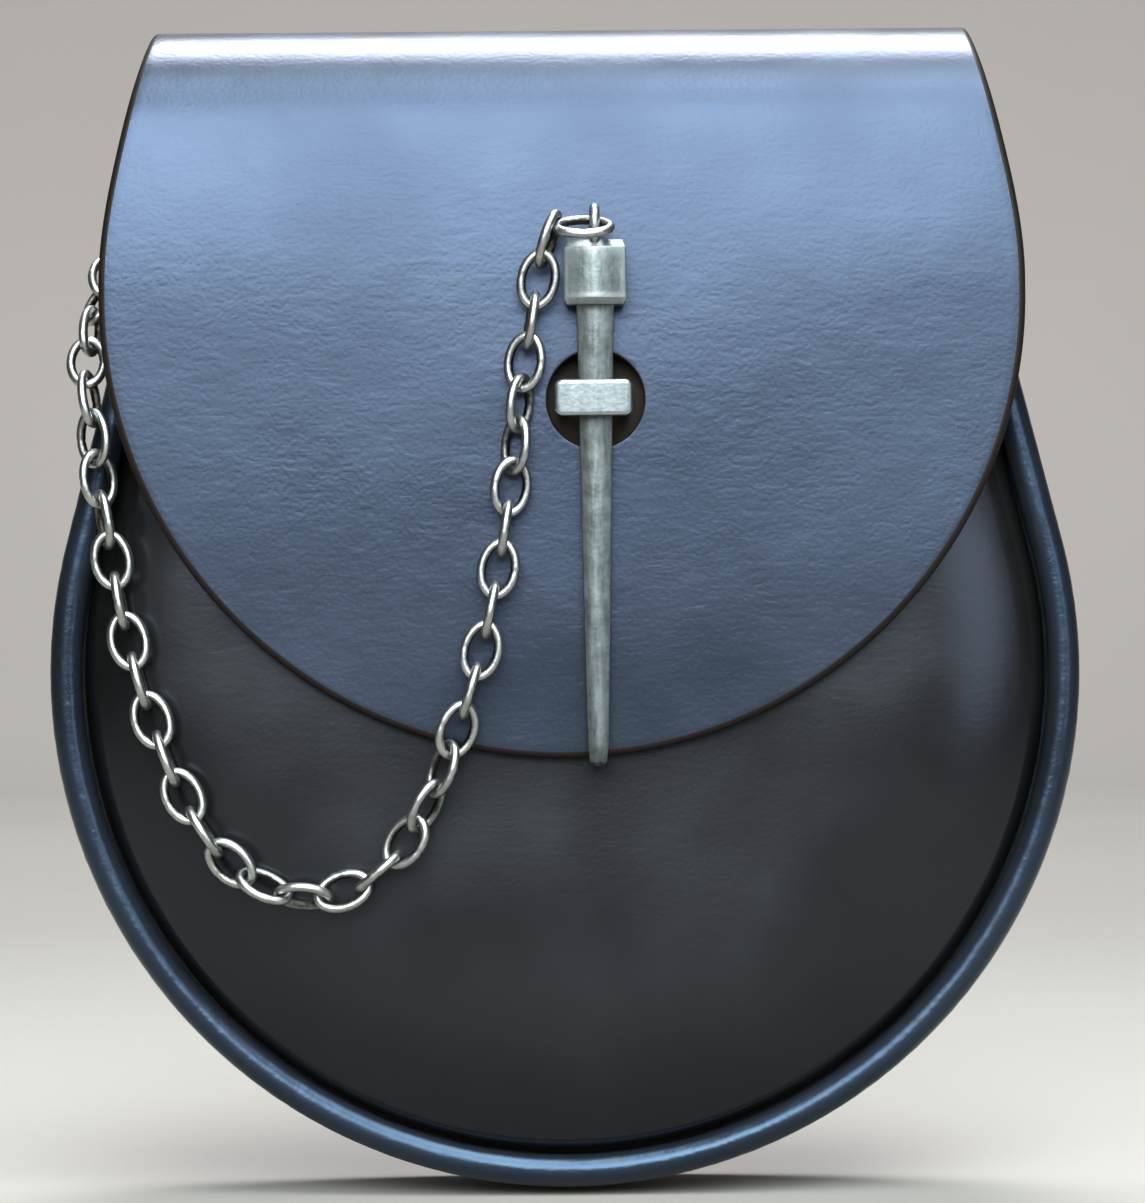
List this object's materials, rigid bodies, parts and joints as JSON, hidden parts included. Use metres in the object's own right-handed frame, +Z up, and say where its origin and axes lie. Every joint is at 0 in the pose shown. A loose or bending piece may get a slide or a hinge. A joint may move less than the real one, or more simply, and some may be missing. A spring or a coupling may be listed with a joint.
{
  "type": "sporran pouch",
  "caption": "Round leather sporran pouch with a piped front, a flap folded over from the back, and a chained pin that locks the flap through a staple.",
  "frame": {"origin": "on the rear face of the back, in the middle of the belt loop that the pouch hangs by", "axes": "+Z up, +X to the right seen from the front, +Y out of the back; the flap faces -Y"},
  "size_m": [0.19, 0.0665, 0.2148],
  "materials": {
    "flap_leather": "smooth black leather with a soft blue-grey sheen",
    "body_leather": "smooth black leather, satin",
    "piping_leather": "black leather drawn round a cord, satin",
    "cast_metal": "cast white metal with worn bright edges",
    "chain_metal": "dulled steel wire, bright where it rubs"
  },
  "bodies": {
    "root": {"flap_and_back": "flap_leather", "front_panel": "body_leather", "gusset": "body_leather", "piping": "piping_leather", "belt_loop": "body_leather", "staple": "cast_metal", "pin": "cast_metal", "chain_eye": "chain_metal", "chain_link_01": "chain_metal", "chain_link_02": "chain_metal", "chain_link_03": "chain_metal", "chain_link_04": "chain_metal", "chain_link_05": "chain_metal", "chain_link_06": "chain_metal", "chain_link_07": "chain_metal", "chain_link_08": "chain_metal", "chain_link_09": "chain_metal", "chain_link_10": "chain_metal", "chain_link_11": "chain_metal", "chain_link_12": "chain_metal", "chain_link_13": "chain_metal", "chain_link_14": "chain_metal", "chain_link_15": "chain_metal", "chain_link_16": "chain_metal", "chain_link_17": "chain_metal", "chain_link_18": "chain_metal", "chain_link_19": "chain_metal", "chain_link_20": "chain_metal", "chain_link_21": "chain_metal", "chain_link_22": "chain_metal", "chain_link_23": "chain_metal", "chain_link_24": "chain_metal", "chain_link_25": "chain_metal", "chain_link_26": "chain_metal", "chain_link_27": "chain_metal", "chain_link_28": "chain_metal", "chain_link_29": "chain_metal", "chain_link_30": "chain_metal", "chain_link_31": "chain_metal", "chain_link_32": "chain_metal", "chain_link_33": "chain_metal", "chain_link_34": "chain_metal", "chain_link_35": "chain_metal", "chain_link_36": "chain_metal", "chain_link_37": "chain_metal", "chain_link_38": "chain_metal"}
  },
  "joints": []
}
